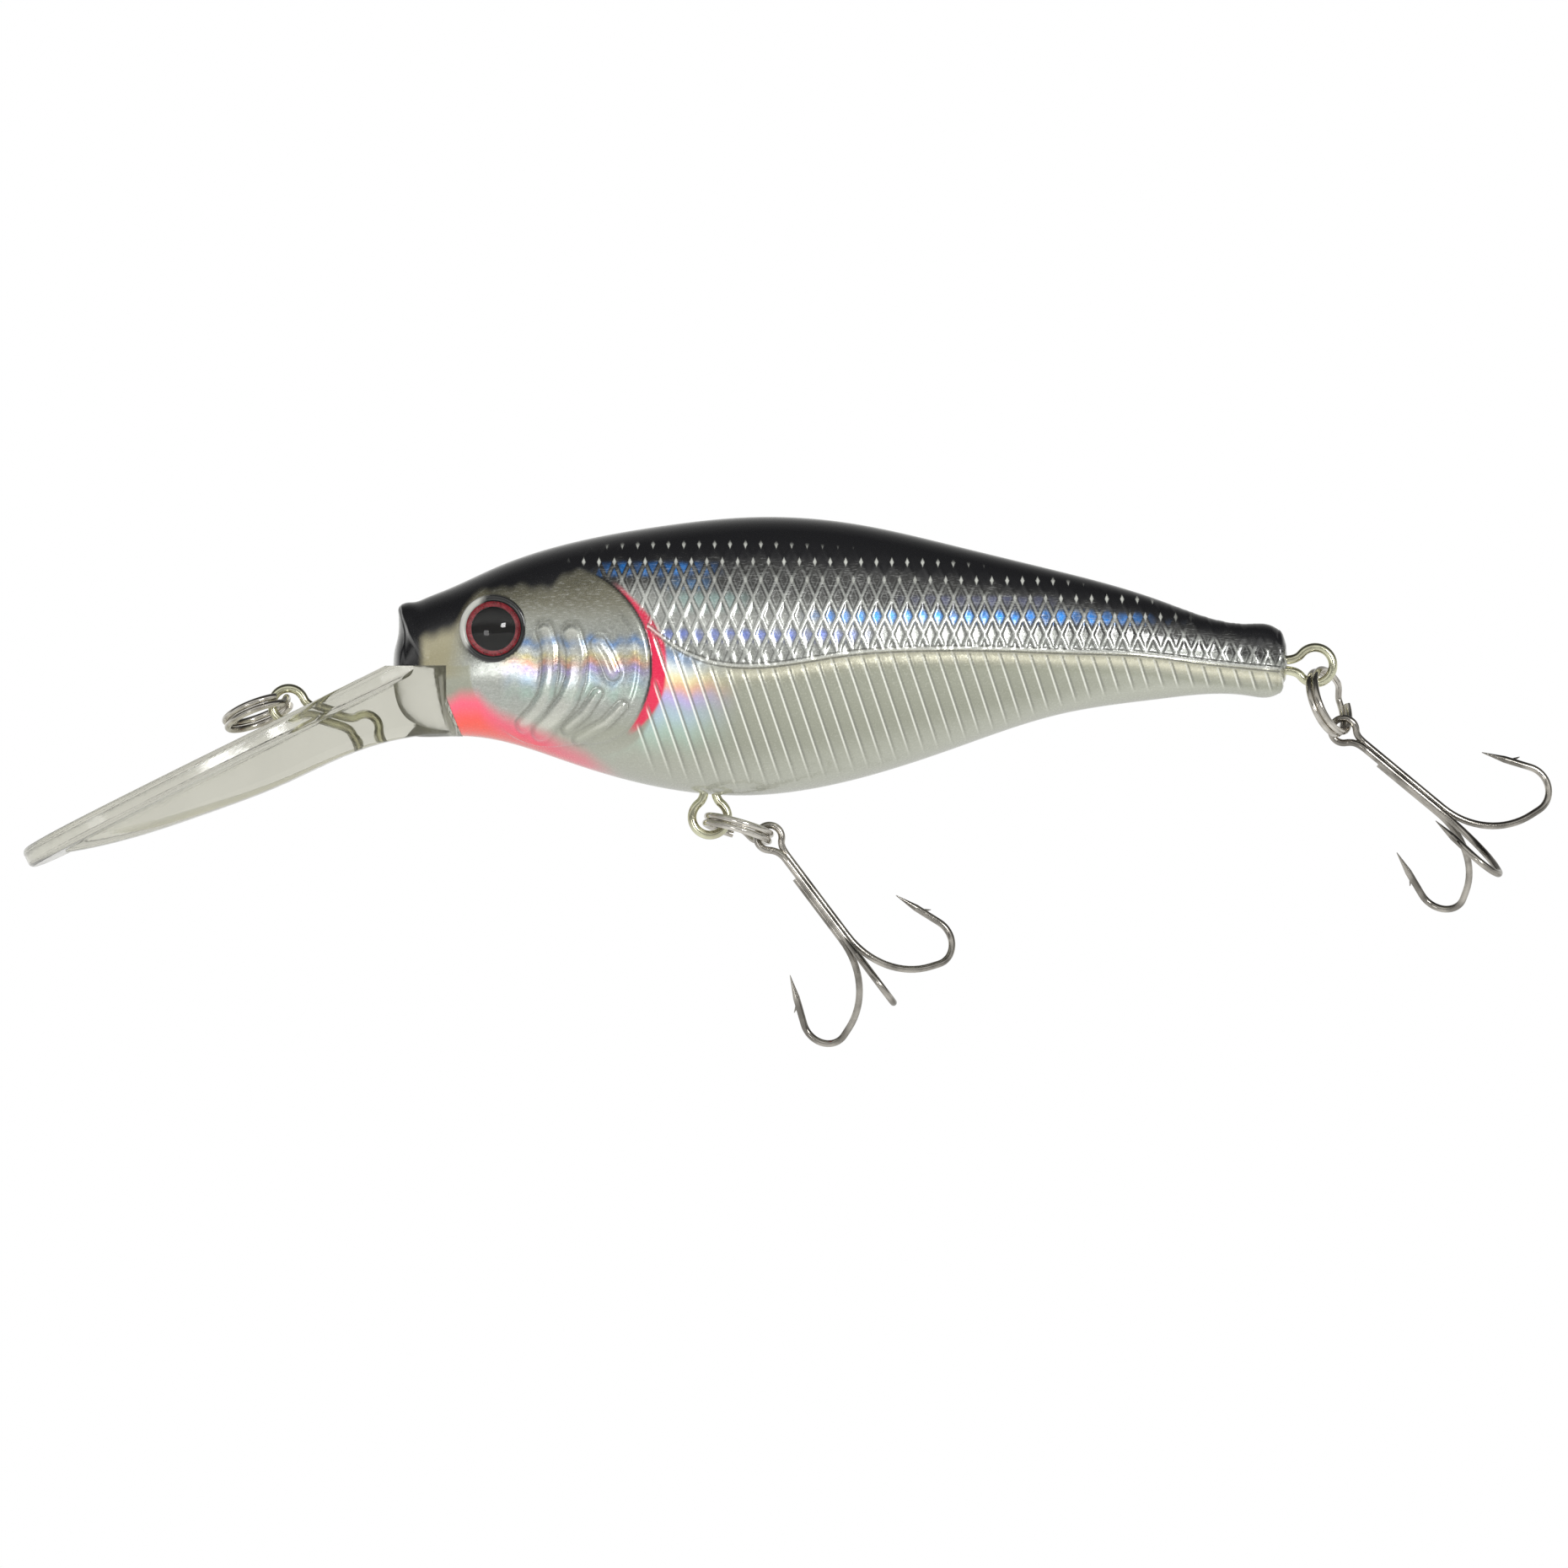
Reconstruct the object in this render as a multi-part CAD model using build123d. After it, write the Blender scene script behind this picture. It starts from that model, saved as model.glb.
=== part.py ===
from build123d import *
import os
from math import cos, pi, radians, sin

# Diving crankbait lure, in millimetres. +X runs from nose to tail, +Z is up, -Y is the fish's left side.
# Shapes are drawn with the nose at X = 0 and are moved at the end, so that the line tie is the origin.

# Body: X, top, bottom and half width of each section
STATIONS = (
    (0.0, 2.7, -5.7, 2.3),
    (1.3, 3.7, -6.4, 3.4),
    (4.0, 4.95, -6.5, 4.7),
    (8.0, 6.75, -6.75, 5.7),
    (14.0, 8.7, -8.6, 6.5),
    (21.0, 10.0, -10.5, 6.9),
    (28.0, 10.7, -11.1, 6.8),
    (36.0, 10.2, -9.9, 6.1),
    (44.0, 8.45, -7.4, 5.0),
    (52.0, 6.5, -4.8, 3.9),
    (60.0, 4.2, -3.55, 2.9),
    (67.0, 2.35, -3.3, 2.2),
    (69.3, 1.9, -3.15, 1.8),
    (70.0, 1.2, -2.6, 1.1),
)
SQUARENESS = 2.25
WALL = 1.3
CAVITY_FRONT, CAVITY_BACK = 9.0, 59.0
RELIEF = 0.25

# Lip
LIP_SLOPE = 26.8
LIP_ROOT_X, LIP_ROOT_Z = -1.2, -1.35
LIP_THICK = 1.6
LIP_LENGTH = 31.2
LIP_HALF_WIDTH = 8.7
SPINE_HALF_WIDTH = 2.4
CHIN_TOP = -1.0
CHIN_BACK_TOP, CHIN_BACK_BOTTOM = 4.3, 5.7
TANG_BACK, TANG_HALF_WIDTH = 7.6, 1.7

# Wires
HANGER_WIRE = 0.7
HANGER_EYE = 1.4
LINE_TIE = (-8.2, -4.0)
BELLY_EYE = (24.8, -12.8)
TAIL_EYE = (72.2, -0.9)
RING_WIRE = 0.52
RING_PITCH = 0.56

# Eyes
EYE_X, EYE_Z = 8.0, 1.85
EYE_DISC = 2.15
EYE_RIM = 2.62
EYE_DISC_THICK = 0.3
EYE_FLOOR = 5.0
EYE_DOME = 0.75

# Insides
BALLAST_X, BALLAST_Z, BALLAST_R, BALLAST_LENGTH = 15.6, -4.0, 2.6, 8.0
BALL_R = 1.6
CELL_FRONTS = (32.4, 39.6, 46.8)
CELL_LENGTH = 6.2
CELL_Z, CELL_HALF = -1.6, 1.75
PEGS = ((12.4, 4.6), (28.0, 5.6), (56.5, 1.2))
PEG_R = 1.0

# Treble hooks, along the shank from the middle of the eye
HOOK_WIRE = 0.55
HOOK_EYE = 0.98
SHANK_START = 2.3
SHANK_END = 9.8
BUNDLE = 0.325
BEND_R, BEND_TURN = 6.2, 72
BEND_FLAT = 0.8
CORNER_R, CORNER_TURN = 1.9, 132
SPEAR = 2.2
POINT = 1.9
BARB = 0.7
NEAR_ARM, RIGHT_ARM, LEFT_ARM = 90, 330, 210


def side_plane(x=0.0, z=0.0):
    """The XZ plane seen from the fish's left side, with its own origin at (x, z)."""
    return Plane(origin=(x, 0, z), x_dir=(1, 0, 0), z_dir=(0, -1, 0))


def section(x, top, bottom, half_width, grow):
    """One rounded cross-section of the body."""
    middle = (top + bottom) / 2
    height = (top - bottom) / 2 + grow
    width = half_width + grow
    points = []
    for i in range(24):
        angle = 2 * pi * i / 24
        power = 2 / SQUARENESS
        y = width * abs(cos(angle)) ** power * (1 if cos(angle) > 0 else -1)
        z = middle + height * abs(sin(angle)) ** power * (1 if sin(angle) > 0 else -1)
        points.append((x, y, z))
    return make_face(Spline(*points, periodic=True))


def hull(grow=0.0):
    """The whole outside of the body, grown or shrunk all round."""
    return loft([section(x, top, bottom, half, grow) for x, top, bottom, half in STATIONS])


def slab(x0, x1, z0, z1, half_width):
    """A block across the centre plane."""
    return Pos((x0 + x1) / 2, 0, (z0 + z1) / 2) * Box(x1 - x0, 2 * half_width, z1 - z0)


def prism(points, y0, y1):
    """A polygon drawn in the side view, as a block from y0 to y1."""
    face = make_face(Polyline(*[Vector(x, y0, z) for x, z in points], close=True))
    return extrude(face, amount=y1 - y0, dir=(0, 1, 0))


def rod(x, z, radius, y0, y1):
    """A round rod lying across the body."""
    return Pos(x, (y0 + y1) / 2, z) * Rot(90, 0, 0) * Cylinder(radius, y1 - y0)


def wire_along(path, diameter):
    """Round wire swept along a path."""
    start = path @ 0
    heading = path % 0
    profile = Plane(origin=start, z_dir=heading) * Circle(diameter / 2)
    return sweep(profile, path=path)


# ---------------------------------------------------------------- wires


def hanger(eye_x, eye_z, angle, leg, splay):
    """A bent wire with a round eye, two legs and hooked feet. The legs run along angle from the eye."""
    radius = HANGER_EYE
    neck = 38
    foot = 1.1
    start = (radius * cos(radians(neck)), radius * sin(radians(neck)))
    heading = (sin(radians(neck)), -cos(radians(neck)))
    half = HANGER_WIRE / 2 + 0.03
    plane = side_plane(eye_x, eye_z)
    loop = CenterArc((0, 0), radius, neck, 360 - 2 * neck)
    upper = Spline(start, (radius + 1.5, half), tangents=(heading, (1, 0)))
    lower = mirror(upper, about=Plane.XZ)
    upper_run = Line((radius + 1.5, half), (leg - 1.2, half))
    lower_run = mirror(upper_run, about=Plane.XZ)
    upper_end = Spline((leg - 1.2, half), (leg, half + splay), tangents=((1, 0), (0.5, 1)))
    lower_end = mirror(upper_end, about=Plane.XZ)
    solid = None
    for piece in (loop, upper, lower, upper_run, lower_run, upper_end, lower_end):
        bar = wire_along(plane * (Rot(0, 0, angle) * piece), HANGER_WIRE)
        solid = bar if solid is None else solid + bar
    for sign in (1, -1):
        corner = (leg, sign * (half + splay))
        tip = plane * (Rot(0, 0, angle) * Line(corner, (leg + 0.5 * foot, corner[1] + sign * foot)))
        solid = solid + wire_along(tip, HANGER_WIRE)
    return solid


def belly_hook_hanger():
    return hanger(*BELLY_EYE, 90, 5.2, 0.7)


def tail_hook_hanger():
    return hanger(*TAIL_EYE, 180, 8.6, 0.35)


def line_tie_wire():
    """A figure of eight: the tow eye stands out of the lip and the other loop is moulded inside it."""
    plane = side_plane(*LINE_TIE)
    outer = 1.3
    inner = 1.1
    reach = 6.3
    tilt = -17
    half = HANGER_WIRE / 2 + 0.03
    neck = 40
    eye = CenterArc((0, 0), outer, neck, 360 - 2 * neck)
    solid = wire_along(plane * (Rot(0, 0, tilt) * eye), HANGER_WIRE)
    start = (outer * cos(radians(neck)), outer * sin(radians(neck)))
    heading = (sin(radians(neck)), -cos(radians(neck)))
    end = (reach - inner * cos(radians(neck)), inner * sin(radians(neck)))
    arrive = (sin(radians(neck)), cos(radians(neck)))
    pieces = [
        Spline(start, (outer + 1.1, half), tangents=(heading, (1, 0))),
        Line((outer + 1.1, half), (reach - inner - 0.9, half)),
        Spline((reach - inner - 0.9, half), end, tangents=((1, 0), arrive)),
    ]
    pieces += [mirror(piece, about=Plane.XZ) for piece in pieces]
    pieces.append(CenterArc((reach, 0), inner, 180 + neck, 360 - 2 * neck))
    for piece in pieces:
        solid = solid + wire_along(plane * (Rot(0, 0, tilt) * piece), HANGER_WIRE)
    return solid


def split_ring(outer):
    """Two flat turns of wire, joined by a short step, as one piece. It lies in its own XY plane."""
    radius = (outer - RING_WIRE) / 2
    low = -RING_PITCH / 2
    high = RING_PITCH / 2
    step = 17
    lap = 9

    def on(angle, z):
        return (radius * cos(radians(angle)), radius * sin(radians(angle)), z)

    def along(angle):
        return (-sin(radians(angle)), cos(radians(angle)), 0)

    first = CenterArc((0, 0, low), radius, step + lap, 360 - 2 * step - lap)
    change = Spline(on(-step, low), on(step, high), tangents=(along(-step), along(step)))
    second = CenterArc((0, 0, high), radius, step, 360 - 2 * step - lap)
    return wire_along(Wire([first, change, second]), RING_WIRE)


def ring_place(x, z, drop, twist, gap_at):
    """Where a split ring lies: its centre, its fall below +X in degrees and its roll about that line."""
    down = Vector(cos(radians(drop)), 0, -sin(radians(drop)))
    flat = Vector(sin(radians(drop)), 0, cos(radians(drop)))
    normal = flat.rotate(Axis((0, 0, 0), down), twist)
    return Plane(origin=(x, 0, z), x_dir=down.rotate(Axis((0, 0, 0), normal), gap_at), z_dir=normal)


# ---------------------------------------------------------------- treble hooks


def arm_path(direction):
    """The middle line of one hook from the top of the shank to the start of its point."""
    plane = Plane(origin=(0, 0, 0), x_dir=(1, 0, 0), z_dir=direction.cross(Vector(1, 0, 0)) * -1)
    bend_in = (SHANK_END, BUNDLE)
    bend = JernArc(bend_in, (1, 0), BEND_R, BEND_TURN)
    flat = PolarLine(bend @ 1, BEND_FLAT, direction=bend % 1)
    corner = JernArc(flat @ 1, flat % 1, CORNER_R, CORNER_TURN)
    spear = PolarLine(corner @ 1, SPEAR, direction=corner % 1)
    shank = Line((SHANK_START, BUNDLE), bend_in)
    return plane, Wire([shank, bend, flat, corner, spear])


def hook_arm(angle, start=SHANK_START):
    """One hook of a treble, at an angle round the shank, with its tapered point and barb."""
    direction = Vector(0, cos(radians(angle)), sin(radians(angle)))
    plane, path = arm_path(direction)
    path = plane * path
    solid = wire_along(path, HOOK_WIRE)
    base = path @ 1
    heading = path % 1
    tip_plane = Plane(origin=base, z_dir=heading)
    cone = tip_plane * Pos(0, 0, POINT / 2) * Cone(HOOK_WIRE / 2, 0.03, POINT)
    inward = (heading.cross(plane.z_dir)).normalized()
    barb_root = base - heading * 0.6 + inward * (HOOK_WIRE / 2 - 0.16)
    barb_plane = Plane(origin=barb_root, z_dir=(inward * 0.8 - heading).normalized())
    barb = barb_plane * Pos(0, 0, BARB / 2 - 0.1) * Cone(0.19, 0.03, BARB + 0.2)
    solid = solid + cone + barb
    if start > SHANK_START:
        solid = solid - Pos(start / 2 - 1, 0, 0) * Box(start + 2, 8, 8)
    return solid


def double_hook():
    """Two hooks and the eye from one wire. The eye lies in the XY plane of the hook, round its origin."""
    neck = 42
    angles = (NEAR_ARM, RIGHT_ARM)
    loop = CenterArc((0, 0, 0), HOOK_EYE, neck, 360 - 2 * neck)
    solid = wire_along(loop, HOOK_WIRE)
    for side, angle in zip((-1, 1), angles):
        start = (HOOK_EYE * cos(radians(neck)), side * HOOK_EYE * sin(radians(neck)), 0)
        heading = (sin(radians(neck)), -side * cos(radians(neck)), 0)
        foot = (SHANK_START, BUNDLE * cos(radians(angle)), BUNDLE * sin(radians(angle)))
        leg = Spline(start, foot, tangents=(heading, (1, 0, 0)))
        solid = solid + wire_along(leg, HOOK_WIRE) + hook_arm(angle)
    return solid


def single_hook():
    """The third hook, which is brazed into the groove between the other two."""
    return hook_arm(LEFT_ARM, SHANK_START + 1.5)


def hook_place(x, y, z, drop, yaw, roll):
    """Where a treble lies: its eye, its fall below +X, its turn to the right side and its roll."""
    down = Vector(cos(radians(drop)), 0, -sin(radians(drop))).rotate(Axis.Z, yaw)
    reach = Vector(sin(radians(drop)), 0, cos(radians(drop))).rotate(Axis.Z, yaw)
    reach = reach.rotate(Axis((0, 0, 0), down), roll)
    return Plane(origin=(x, y, z), x_dir=down, z_dir=down.cross(reach))


# ---------------------------------------------------------------- lip


def lip_plane():
    """The top face of the lip: its own X runs down towards the tip, and its Z out of the face."""
    slope = radians(LIP_SLOPE)
    along = (-cos(slope), 0, -sin(slope))
    out = (-sin(slope), 0, cos(slope))
    return Plane(origin=(LIP_ROOT_X, 0, LIP_ROOT_Z), x_dir=along, z_dir=out)


def lip_blade():
    """The tongue-shaped plate, rounded at the tip and narrower at the head."""
    half = Spline(
        (LIP_LENGTH, 0),
        (LIP_LENGTH - 7.5, LIP_HALF_WIDTH),
        (LIP_LENGTH - 20, 6.6),
        (0, 4.2),
        tangents=((0, 1), (-1, -0.16)),
    )
    inside = Line((0, 4.2), (-3.0, 3.6))
    back = Line((-3.0, 3.6), (-3.0, 0))
    edges = [half, inside, back]
    edges += [edge for piece in edges for edge in mirror(piece, about=Plane.XZ).edges()]
    outline = make_face(edges)
    blade = extrude(outline, amount=-LIP_THICK)
    edges = blade.edges().filter_by(Plane.XY).filter_by(lambda e: e.length > 20)
    blade = fillet(edges, 0.45)
    return lip_plane() * blade


def lip_spine():
    """The thick rib under the plate, deepest at the chin."""
    plane = side_plane()
    top = Polyline((-25.5, -14.5), (LIP_ROOT_X, -2.3), (4.6, CHIN_TOP - 1.0), (4.6, -6.35))
    belly = ((4.6, -6.35), (1.2, -6.55), (-3.3, -7.8), (-8.8, -10.3))
    under = Spline(*belly, (-14.3, -12.4), (-20.2, -14.35), (-25.5, -15.55))
    end = Line((-25.5, -15.55), (-25.5, -14.5))
    outline = make_face(Wire([*top.edges(), under, end]))
    spine = extrude(plane * outline, amount=SPINE_HALF_WIDTH, both=True)
    return fillet(spine.edges().filter_by(GeomType.BSPLINE), 0.9)


def chin_zone(y):
    """The part of the head that belongs to the lip."""
    back = ((CHIN_BACK_TOP, CHIN_TOP), (CHIN_BACK_TOP, -3.5), (CHIN_BACK_BOTTOM, -7.2))
    return prism(((-2, CHIN_TOP), *back, (-2, -7.2)), -y, y)


def tang():
    return slab(CHIN_BACK_TOP - 1.5, TANG_BACK, -5.2, -1.6, TANG_HALF_WIDTH)


def lip_solid(body):
    """Plate, rib, chin and tang as one clear moulding."""
    chin = body & chin_zone(12)
    # The plate and rib stay outside the painted head.
    front = lip_blade() + lip_spine()
    behind = ((CHIN_BACK_TOP, 6), (12, 6), (12, -12), (6.2, -12), (CHIN_BACK_TOP, -3.5))
    front = front - prism(behind, -14, 14)
    front = front - prism(((-3, CHIN_TOP), (8, CHIN_TOP), (8, 8), (-3, 8)), -14, 14)
    return front + chin + tang()


# ---------------------------------------------------------------- body


def cavity():
    """The hollow, between the head block and the tail block."""
    zone = slab(CAVITY_FRONT, CAVITY_BACK, -20, 20, 20)
    return hull(-WALL) & zone


def frames():
    """Everything that stands inside the hollow: ballast ring, hanger block, rattle cells, ribs and peg posts."""
    solid = rod(BALLAST_X, BALLAST_Z, BALLAST_R + 0.9, -9, 9)
    solid = solid + slab(21.6, 28.0, -13, -6.4, 9)
    cell_back = CELL_FRONTS[-1] + CELL_LENGTH + 1
    cell_wall = CELL_HALF + 1
    solid = solid + slab(CELL_FRONTS[0] - 1, cell_back, CELL_Z - cell_wall, CELL_Z + cell_wall, 9)
    for x in (30.0, 55.2):
        solid = solid + slab(x, x + 1.0, -13, 13, 9)
    for x, z in PEGS:
        solid = solid + rod(x, z, PEG_R + 0.9, -9, 9)
    return solid


def gill_plate():
    """Outline of the raised cheek, in the side view."""
    edge = Spline((15.2, 6.4), (18.6, 3.9), (20.3, 0.4), (20.0, -3.0), (17.6, -6.6))
    back = Polyline((17.6, -6.6), (13.2, -7.9), (4.4, -3.2), (4.4, 3.0), (8.5, 5.4), (15.2, 6.4))
    return make_face(Wire([edge, *back.edges()]))


def lateral_line():
    """The thin ridge along the flank."""
    front = ((20.2, 2.0), (23.6, -0.3), (27.5, -1.0), (35.4, -0.1))
    path = Spline(*front, (47.5, 0.3), (58.8, -0.1), (69.0, -1.2))
    return trace(path, 0.35)


def outer_body():
    body = hull()
    raised = hull(RELIEF)
    plane = side_plane()
    cheek = extrude(plane * gill_plate(), amount=12, both=True)
    line = extrude(plane * lateral_line(), amount=12, both=True)
    return body + (raised & cheek) + (raised & line)


def eye_seat(side):
    """The raised rim round one eye."""
    inner = side * 3.0
    outer = side * (EYE_FLOOR + 0.85)
    return rod(EYE_X, EYE_Z, EYE_RIM, min(inner, outer), max(inner, outer))


def eye_hole(side):
    inner = side * EYE_FLOOR
    outer = side * 9.0
    return rod(EYE_X, EYE_Z, EYE_DISC, min(inner, outer), max(inner, outer))


def eye_disc(side):
    inner = side * EYE_FLOOR
    outer = side * (EYE_FLOOR + EYE_DISC_THICK)
    return rod(EYE_X, EYE_Z, EYE_DISC, min(inner, outer), max(inner, outer))


def eye_lens(side):
    """A clear dome on the foil disc: a short rim, then a spherical cap."""
    rim = 0.35
    radius = (EYE_DISC**2 + EYE_DOME**2) / (2 * EYE_DOME)
    foot = EYE_FLOOR + EYE_DISC_THICK
    middle = foot + rim + EYE_DOME - radius
    ball = Pos(EYE_X, side * middle, EYE_Z) * Sphere(radius)
    inner = side * foot
    outer = side * (foot + rim + EYE_DOME + 1)
    return ball & rod(EYE_X, EYE_Z, EYE_DISC, min(inner, outer), max(inner, outer))


def ballast_weight():
    return rod(BALLAST_X, BALLAST_Z, BALLAST_R, -BALLAST_LENGTH / 2, BALLAST_LENGTH / 2)


def cells():
    """The three closed chambers for the rattle balls."""
    solid = None
    for x in CELL_FRONTS:
        cell = slab(x, x + CELL_LENGTH, CELL_Z - CELL_HALF, CELL_Z + CELL_HALF, CELL_HALF)
        solid = cell if solid is None else solid + cell
    return solid


def body_shells(lip, wires):
    """Both halves, hollow, with everything that they hold taken out of them."""
    body = outer_body() - cavity()
    body = body + (hull(-0.4) & frames())
    for side in (-1, 1):
        body = (body + eye_seat(side)) - eye_hole(side)
    body = body - chin_zone(12) - lip
    body = body - ballast_weight() - cells()
    for wire in wires:
        body = body - wire
    left = body & Pos(30, -20, 0) * Box(140, 40, 60)
    right = body & Pos(30, 20, 0) * Box(140, 40, 60)
    for x, z in PEGS:
        left = left + rod(x, z, PEG_R, -1.0, 1.4)
        right = right - rod(x, z, PEG_R, -0.1, 1.5)
    return left, right


def rattle_ball(number):
    """Each ball rests at the middle of its cell, on the floor."""
    x = CELL_FRONTS[number] + CELL_LENGTH / 2
    return Pos(x, 0, CELL_Z - CELL_HALF + BALL_R + 0.03) * Sphere(BALL_R)


# ---------------------------------------------------------------- assembly

RINGS = {
    "line_tie_split_ring": (5.7, (-10.62, -4.63, 159, 12, 200)),
    "belly_split_ring": (5.7, (27.0, -13.7, 16, -6, 70)),
    "tail_split_ring": (5.7, (73.3, -3.75, 68, 26, 100)),
}
TREBLES = {
    "belly_treble": (29.45, 0.0, -14.4, 53, 0, 0),
    "tail_treble": (74.46, 0.49, -6.01, 39.5, 2, 12),
}


def main():
    os.makedirs("parts", exist_ok=True)
    line_tie = line_tie_wire()
    belly_hanger = belly_hook_hanger()
    tail_hanger = tail_hook_hanger()
    lip = lip_solid(outer_body())
    left, right = body_shells(lip, (line_tie, belly_hanger, tail_hanger))
    nodes = {
        "body_shell_left": left,
        "body_shell_right": right,
        "diving_lip": lip - line_tie,
        "line_tie_wire": line_tie,
        "belly_hook_hanger": belly_hanger,
        "tail_hook_hanger": tail_hanger,
        "eye_disc_left": eye_disc(-1),
        "eye_disc_right": eye_disc(1),
        "eye_lens_left": eye_lens(-1),
        "eye_lens_right": eye_lens(1),
        "ballast_weight": ballast_weight(),
        "rattle_ball_front": rattle_ball(0),
        "rattle_ball_middle": rattle_ball(1),
        "rattle_ball_rear": rattle_ball(2),
    }
    for name, (outer, place) in RINGS.items():
        nodes[name] = ring_place(*place) * split_ring(outer)
    for name, place in TREBLES.items():
        nodes[name + "_double_hook"] = hook_place(*place) * double_hook()
        nodes[name + "_single_hook"] = hook_place(*place) * single_hook()
    home = Pos(-LINE_TIE[0], 0, -LINE_TIE[1])
    for name, shape in nodes.items():
        export_step(home * shape, f"parts/{name}.step")


main()
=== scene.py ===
from math import cos, pi, radians, sin

import bmesh
import bpy
import numpy as np
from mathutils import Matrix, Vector

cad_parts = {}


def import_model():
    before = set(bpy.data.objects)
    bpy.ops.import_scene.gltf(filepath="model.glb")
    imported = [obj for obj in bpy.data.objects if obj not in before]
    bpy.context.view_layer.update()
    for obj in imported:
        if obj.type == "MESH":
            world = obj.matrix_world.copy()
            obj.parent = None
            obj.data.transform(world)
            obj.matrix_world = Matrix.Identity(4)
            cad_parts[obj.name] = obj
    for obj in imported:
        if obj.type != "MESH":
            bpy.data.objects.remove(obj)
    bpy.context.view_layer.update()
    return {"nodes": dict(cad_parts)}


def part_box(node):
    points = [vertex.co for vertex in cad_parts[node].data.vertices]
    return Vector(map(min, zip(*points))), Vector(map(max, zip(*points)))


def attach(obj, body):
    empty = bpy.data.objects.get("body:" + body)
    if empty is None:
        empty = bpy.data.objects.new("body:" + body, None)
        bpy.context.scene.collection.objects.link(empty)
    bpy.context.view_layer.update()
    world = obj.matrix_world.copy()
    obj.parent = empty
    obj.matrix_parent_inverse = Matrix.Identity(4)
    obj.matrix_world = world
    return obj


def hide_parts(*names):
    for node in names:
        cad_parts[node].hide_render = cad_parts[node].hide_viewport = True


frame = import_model()
MM = 0.001

# The nose tip and the body's middle height, in the frame, in millimetres
NOSE_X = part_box("body_shell_left")[0][0] / MM
AXIS_Z = 4.0

# X from the nose, top, bottom and half width of the body, as the CAD has them
STATIONS = np.array((
    (0.0, 2.7, -5.7, 2.3),
    (1.3, 3.7, -6.4, 3.4),
    (4.0, 4.95, -6.5, 4.7),
    (8.0, 6.75, -6.75, 5.7),
    (14.0, 8.7, -8.6, 6.5),
    (21.0, 10.0, -10.5, 6.9),
    (28.0, 10.7, -11.1, 6.8),
    (36.0, 10.2, -9.9, 6.1),
    (44.0, 8.45, -7.4, 5.0),
    (52.0, 6.5, -4.8, 3.9),
    (60.0, 4.2, -3.55, 2.9),
    (67.0, 2.35, -3.3, 2.2),
    (69.3, 1.9, -3.15, 1.8),
    (70.0, 1.2, -2.6, 1.1),
))
BODY_LENGTH = 70
SQUARENESS = 2.25
ROWS, COLUMNS = 600, 156
NOSE_ROUND, TAIL_ROUND = 0.9, 0.7
# The clear chin: its top, and the top and foot of its leaning back wall
CHIN_TOP, CHIN_BACK, CHIN_FOOT = -1.0, (4.3, -3.5), (5.7, -7.2)
SCALE_PITCH, SCALE_TALL = 1.2, 2.82
RIB_LEAN = 0.34
EYE_X, EYE_Z, EYE_DISC, EYE_RIM = 8.0, 1.85, 2.15, 2.62
# How far out from the centre plane the eye's parts stand
SOCKET_OUT, SEAT_OUT, IRIS_OUT, RIM_OUT = 4.9, 5.0, 5.2, 5.72
PUPIL, PUPIL_DOME = 1.6, 0.34
GILL_X, GILL_Z, GILL_R = 12.4, -1.0, 7.85

# Tones of the studio by angle round the lure's length: 0 is in front, 90 above, 180 behind
REFLECTED = (
    (-180, 0.9), (-140, 0.6), (-100, 0.75), (-50, 0.75), (-22, 0.45), (-6, 0.3), (8, 0.28), (26, 0.85),
    (46, 0.55), (60, 0.12), (82, 0.04), (102, 0.03), (122, 0.14), (150, 0.4), (180, 0.9),
)
THROUGH = (
    (-180, 0.74), (-130, 0.7), (-90, 0.6), (-30, 0.7), (20, 0.8), (70, 0.75), (120, 0.78), (180, 0.74),
)
# How much blue the studio keeps, and where the lights aim
CREAM = 0.98
LIT_POINT = (0.03, 0, 0)

BLACK = (0.008, 0.008, 0.009)
# The foil's rainbow, a painted reflection in fixed bands: height, width of the band, colour, strength
PAINTED_RAINBOW = (
    (0.75, 0.35, (0.10, 0.30, 0.72), 0.75),
    (0.15, 0.33, (0.90, 0.96, 0.94), 0.8),
    (-0.35, 0.25, (1.00, 0.86, 0.40), 0.8),
    (-0.85, 0.28, (0.98, 0.42, 0.22), 0.8),
    (-1.4, 0.33, (0.50, 0.36, 0.86), 0.75),
    (-2.2, 0.5, (0.42, 0.60, 0.82), 0.6),
    (-3.1, 0.6, (0.44, 0.72, 0.60), 0.4),
)
# Rows of painted coloured glints on the scales: height, half height, where the row fades in and out,
# colour, strength
PAINTED_GLINT_ROWS = (
    (6.5, 0.62, (15.0, 16.5, 23.0, 27.0), (0.01, 0.22, 0.70), 0.95),
    (5.3, 0.5, (20.0, 22.0, 24.0, 26.0), (0.05, 0.20, 0.45), 0.6),
    (2.75, 0.62, (30.5, 35.0, 57.0, 64.0), (0.01, 0.22, 0.70), 0.95),
    (1.3, 0.6, (20.0, 22.0, 34.0, 40.0), (0.20, 0.28, 0.80), 0.8),
    (3.9, 0.9, (21.0, 22.5, 26.0, 30.0), (0.36, 0.60, 0.56), 0.4),
    (4.0, 0.5, (38.0, 41.0, 50.0, 54.0), (0.20, 0.22, 0.42), 0.4),
)


# ------------------------------------------------------------------ curves and shapes


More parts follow.
